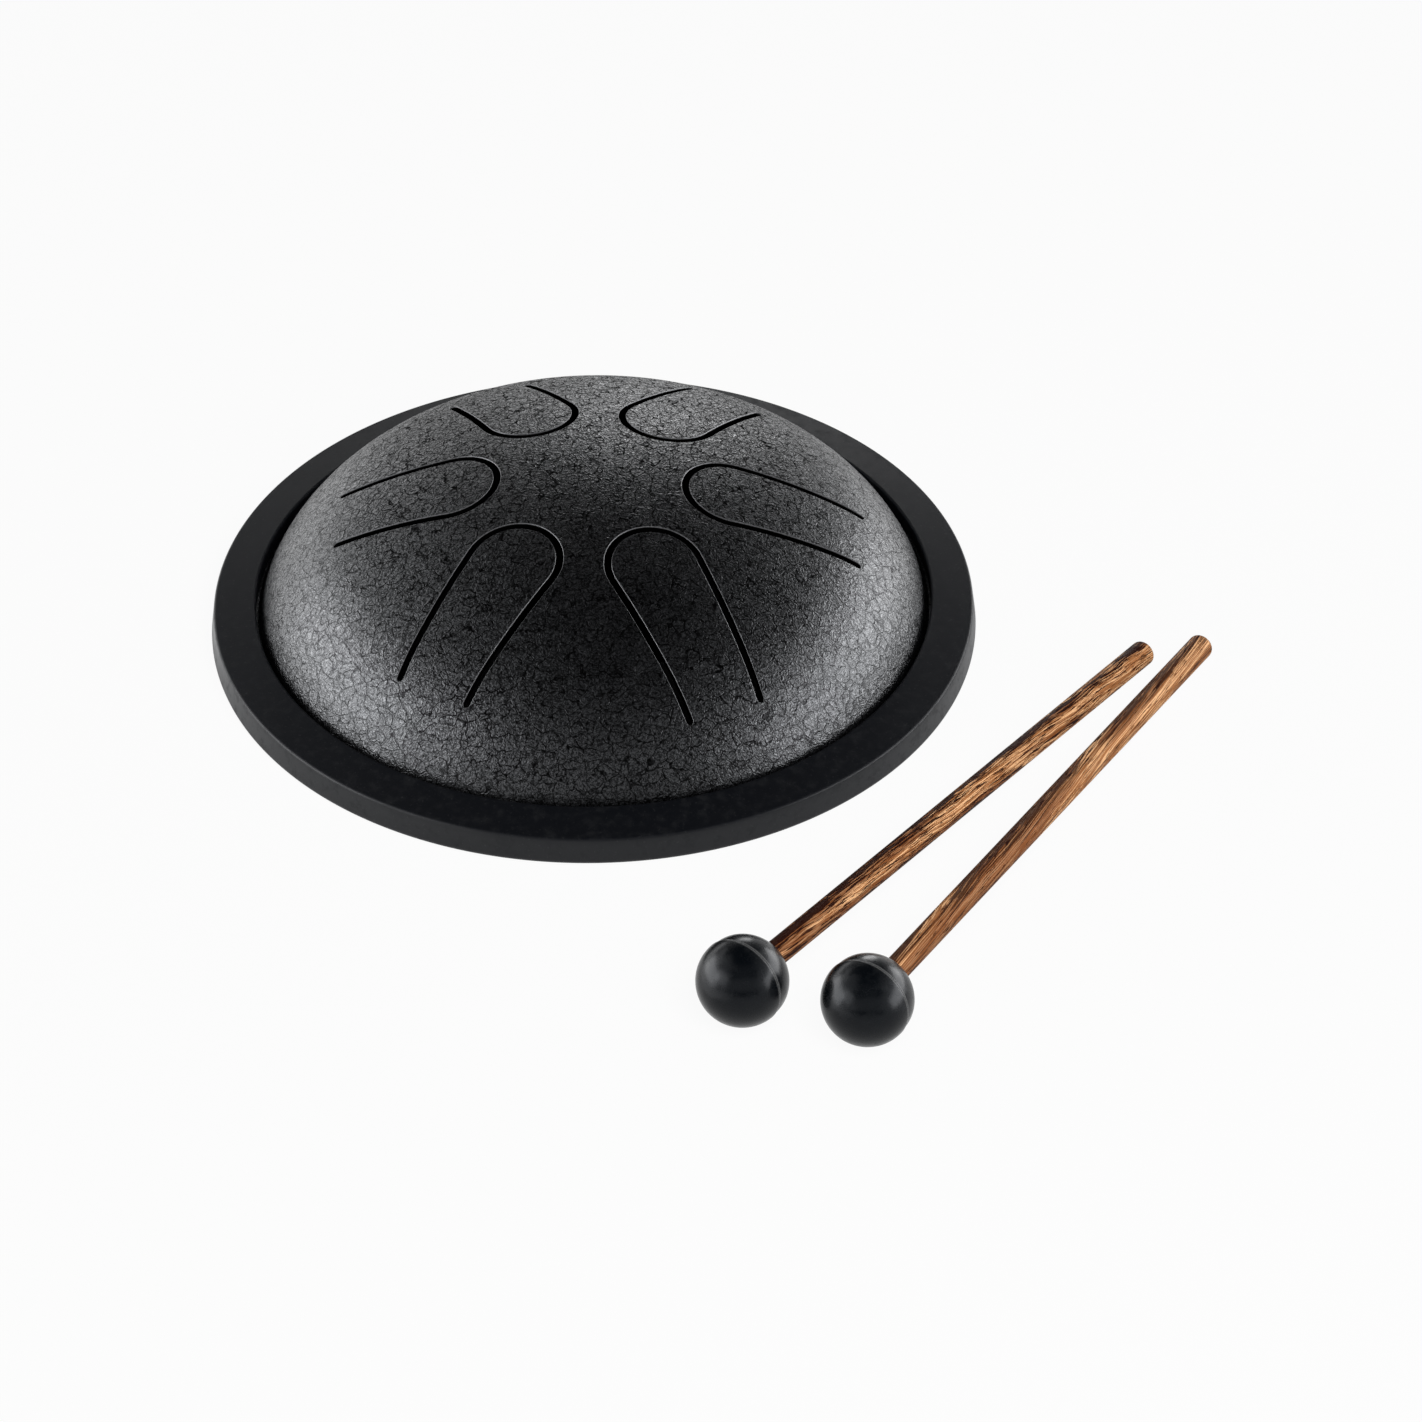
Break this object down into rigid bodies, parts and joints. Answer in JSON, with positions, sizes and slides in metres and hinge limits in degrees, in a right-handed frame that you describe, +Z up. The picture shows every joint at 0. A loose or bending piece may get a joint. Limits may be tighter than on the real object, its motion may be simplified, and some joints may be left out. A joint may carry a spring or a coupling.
{
  "type": "steel tongue drum",
  "caption": "Shallow round steel tongue drum with U-shaped tongues cut in its dome, a rubber edge ring and a pair of rubber-ball mallets with wooden sticks.",
  "frame": {"origin": "on the floor at the middle of the drum, which is the centre of the edge ring's resting face", "axes": "+Z up through the crown of the dome, -Y towards the balls of the two mallets in front of the drum, +X to the right as seen from there"},
  "size_m": [0.2347, 0.2526, 0.0441],
  "materials": {
    "drum_steel": "crackle paint",
    "base_steel": "satin",
    "ring_rubber": "satin",
    "ball_rubber": "satin",
    "stick_a_wood": "oiled",
    "stick_b_wood": "oiled"
  },
  "bodies": {
    "drum": {"tongue_shell": "drum_steel", "base_plate": "base_steel", "edge_ring": "ring_rubber"},
    "tongue_1": {"tongue_1": "drum_steel"},
    "tongue_2": {"tongue_2": "drum_steel"},
    "tongue_3": {"tongue_3": "drum_steel"},
    "tongue_4": {"tongue_4": "drum_steel"},
    "tongue_5": {"tongue_5": "drum_steel"},
    "tongue_6": {"tongue_6": "drum_steel"},
    "mallet_a": {"mallet_a_head": "ball_rubber", "mallet_a_stick": "stick_a_wood"},
    "mallet_b": {"mallet_b_head": "ball_rubber", "mallet_b_stick": "stick_b_wood"}
  },
  "joints": [
    {"name": "tongue_1_flex", "type": "hinge", "parent": "drum", "child": "tongue_1", "pos_m": [0.06221, -0.00457, 0.02617], "axis": [-0.0732, -0.9973, 0], "range_deg": [-0.5, 0.5], "stiffness_Nm_per_rad": 1.5},
    {"name": "tongue_2_flex", "type": "hinge", "parent": "drum", "child": "tongue_2", "pos_m": [0.03191, 0.04696, 0.02956], "axis": [0.8271, -0.5621, 0], "range_deg": [-0.5, 0.5], "stiffness_Nm_per_rad": 1.5},
    {"name": "tongue_3_flex", "type": "hinge", "parent": "drum", "child": "tongue_3", "pos_m": [-0.02358, 0.04877, 0.03084], "axis": [0.9003, 0.4352, 0], "range_deg": [-0.5, 0.5], "stiffness_Nm_per_rad": 1.5},
    {"name": "tongue_4_flex", "type": "hinge", "parent": "drum", "child": "tongue_4", "pos_m": [-0.05882, 0.00432, 0.02837], "axis": [0.0732, 0.9973, 0], "range_deg": [-0.5, 0.5], "stiffness_Nm_per_rad": 1.5},
    {"name": "tongue_5_flex", "type": "hinge", "parent": "drum", "child": "tongue_5", "pos_m": [-0.03703, -0.05448, 0.02337], "axis": [-0.8271, 0.5621, 0], "range_deg": [-0.5, 0.5], "stiffness_Nm_per_rad": 1.5},
    {"name": "tongue_6_flex", "type": "hinge", "parent": "drum", "child": "tongue_6", "pos_m": [0.02959, -0.0612, 0.02136], "axis": [-0.9003, -0.4352, 0], "range_deg": [-0.5, 0.5], "stiffness_Nm_per_rad": 1.5},
    {"name": "mallet_a_lift", "type": "slide", "parent": "drum", "child": "mallet_a", "axis": [0, 0, 1], "range_m": [0, 0.15]},
    {"name": "mallet_b_lift", "type": "slide", "parent": "drum", "child": "mallet_b", "axis": [0, 0, 1], "range_m": [0, 0.15]}
  ]
}
